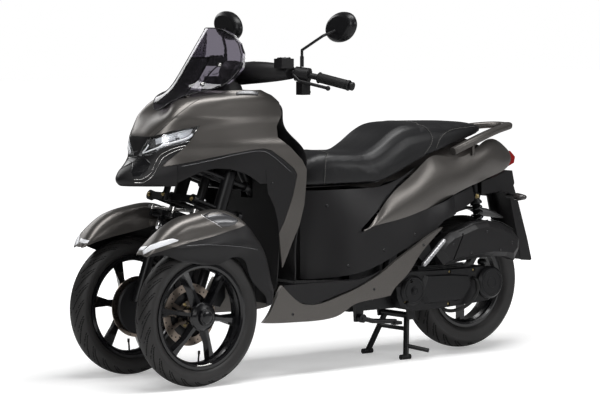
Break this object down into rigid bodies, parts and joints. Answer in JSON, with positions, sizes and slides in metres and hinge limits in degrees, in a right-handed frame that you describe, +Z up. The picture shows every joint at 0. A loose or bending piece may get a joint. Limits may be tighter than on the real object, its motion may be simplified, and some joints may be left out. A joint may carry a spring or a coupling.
{
  "type": "motorized trike",
  "caption": "Leaning scooter with two steered front wheels, one driven rear wheel, a tall smoked screen and a stepped dual seat, on its centre stand.",
  "frame": {"origin": "middle of the whole machine's bounding box in plan, on the ground", "axes": "+X forwards, +Y to the machine's left, +Z up"},
  "size_m": [1.98, 0.8272, 1.3085],
  "materials": {
    "frame": "satin black",
    "cowl_paint": "matte warm dark grey paint on plastic",
    "black_plastic": "fine-textured black plastic",
    "headlamp": "clear lens",
    "screen": "smoked screen",
    "lamp_red": "red lens",
    "alloy": "cast aluminium, dark",
    "case": "satin black cast case",
    "exhaust": "heat-proof black",
    "steel": "machined steel",
    "wheel": "gloss black cast alloy",
    "disc": "drilled brake disc",
    "tyre": "rubber",
    "seat": "black grained seat cover",
    "fork_leg": "black legs with chromed tubes"
  },
  "bodies": {
    "chassis": {"frame": "frame", "front_cowl": "cowl_paint", "side_cowls": "cowl_paint", "arch_panels": "black_plastic", "headlights": "headlamp", "nose_face": "black_plastic", "windscreen": "screen", "leg_shield": "black_plastic", "bulkhead": "black_plastic", "floorboard": "black_plastic", "sills": "cowl_paint", "body_cover": "black_plastic", "storage_box": "black_plastic", "tail_cowls": "cowl_paint", "grab_bar": "cowl_paint", "tail_lamp": "lamp_red", "rear_fender": "black_plastic", "engine": "case", "cvt_cover": "case", "air_cleaner": "black_plastic", "muffler": "exhaust", "rear_shocks": "steel", "hugger": "black_plastic"},
    "seat": {"seat": "seat"},
    "rear_wheel": {"rear_rim": "wheel", "rear_tyre": "tyre"},
    "centre_stand": {"centre_stand": "frame"},
    "side_stand": {"side_stand": "frame"},
    "upper_arm": {"upper_arm": "frame"},
    "lower_arm": {"lower_arm": "frame"},
    "link_left": {"link_left": "alloy"},
    "link_right": {"link_right": "alloy"},
    "fork_left": {"knuckle_left": "fork_leg", "fender_left": "cowl_paint", "fender_skirt_left": "black_plastic"},
    "fork_right": {"knuckle_right": "fork_leg", "fender_right": "cowl_paint", "fender_skirt_right": "black_plastic"},
    "wheel_left": {"rim_left": "wheel", "disc_left": "disc", "tyre_left": "tyre"},
    "wheel_right": {"rim_right": "wheel", "disc_right": "disc", "tyre_right": "tyre"},
    "steering": {"handlebar": "black_plastic", "mirrors": "black_plastic"},
    "ball_stud": {"ball_stud": "steel"},
    "track_rod": {"track_rod": "steel"}
  },
  "joints": [
    {"name": "seat_hinge", "type": "hinge", "parent": "chassis", "child": "seat", "pos_m": [0.168, 0, 0.668], "axis": [0, 1, 0], "range_deg": [0, 48]},
    {"name": "rear_wheel_spin", "type": "hinge", "parent": "chassis", "child": "rear_wheel", "pos_m": [-0.67, 0, 0.264], "axis": [0, 1, 0], "continuous": true},
    {"name": "centre_stand_pivot", "type": "hinge", "parent": "chassis", "child": "centre_stand", "pos_m": [-0.345, 0, 0.16], "axis": [0, 1, 0], "range_deg": [0, 95]},
    {"name": "side_stand_pivot", "type": "hinge", "parent": "chassis", "child": "side_stand", "pos_m": [-0.06, 0.14, 0.176], "axis": [0, 1, 0], "range_deg": [-85, 0]},
    {"name": "lean", "type": "hinge", "parent": "chassis", "child": "upper_arm", "pos_m": [0.54805, 0, 0.71421], "axis": [0.9397, 0, 0.342], "range_deg": [-20, 20]},
    {"name": "lower_arm_lean", "type": "hinge", "parent": "chassis", "child": "lower_arm", "pos_m": [0.58567, 0, 0.61084], "axis": [0.9397, 0, 0.342], "range_deg": [-20, 20]},
    {"name": "link_left_lean", "type": "hinge", "parent": "upper_arm", "child": "link_left", "pos_m": [0.54805, 0.13, 0.71421], "axis": [0.9397, 0, 0.342], "range_deg": [-20, 20]},
    {"name": "link_right_lean", "type": "hinge", "parent": "upper_arm", "child": "link_right", "pos_m": [0.54805, -0.13, 0.71421], "axis": [0.9397, 0, 0.342], "range_deg": [-20, 20]},
    {"name": "steer", "type": "hinge", "parent": "chassis", "child": "steering", "pos_m": [0.51179, 0, 0.81382], "axis": [-0.342, 0, 0.9397], "range_deg": [-35, 35]},
    {"name": "fork_left_steer", "type": "hinge", "parent": "link_left", "child": "fork_left", "pos_m": [0.56652, 0.13, 0.66346], "axis": [-0.342, 0, 0.9397], "range_deg": [-35, 35]},
    {"name": "fork_right_steer", "type": "hinge", "parent": "link_right", "child": "fork_right", "pos_m": [0.56652, -0.13, 0.66346], "axis": [-0.342, 0, 0.9397], "range_deg": [-35, 35]},
    {"name": "wheel_left_spin", "type": "hinge", "parent": "fork_left", "child": "wheel_left", "pos_m": [0.74, 0.205, 0.25], "axis": [0, 1, 0], "continuous": true},
    {"name": "wheel_right_spin", "type": "hinge", "parent": "fork_right", "child": "wheel_right", "pos_m": [0.74, -0.205, 0.25], "axis": [0, 1, 0], "continuous": true},
    {"name": "ball_stud_turn", "type": "hinge", "parent": "steering", "child": "ball_stud", "pos_m": [0.69298, 0, 0.6084], "axis": [-0.342, 0, 0.9397], "range_deg": [-35, 35]},
    {"name": "track_rod_lean", "type": "hinge", "parent": "ball_stud", "child": "track_rod", "pos_m": [0.69298, 0, 0.6084], "axis": [0.9397, 0, 0.342], "range_deg": [-20, 20]}
  ],
  "couplings": [
    {"joint": "lower_arm_lean", "follows": "lean", "ratio": 1},
    {"joint": "link_left_lean", "follows": "lean", "ratio": -1},
    {"joint": "link_right_lean", "follows": "lean", "ratio": -1},
    {"joint": "track_rod_lean", "follows": "lean", "ratio": 1},
    {"joint": "fork_left_steer", "follows": "steer", "ratio": 1},
    {"joint": "fork_right_steer", "follows": "steer", "ratio": 1},
    {"joint": "ball_stud_turn", "follows": "steer", "ratio": -1}
  ]
}
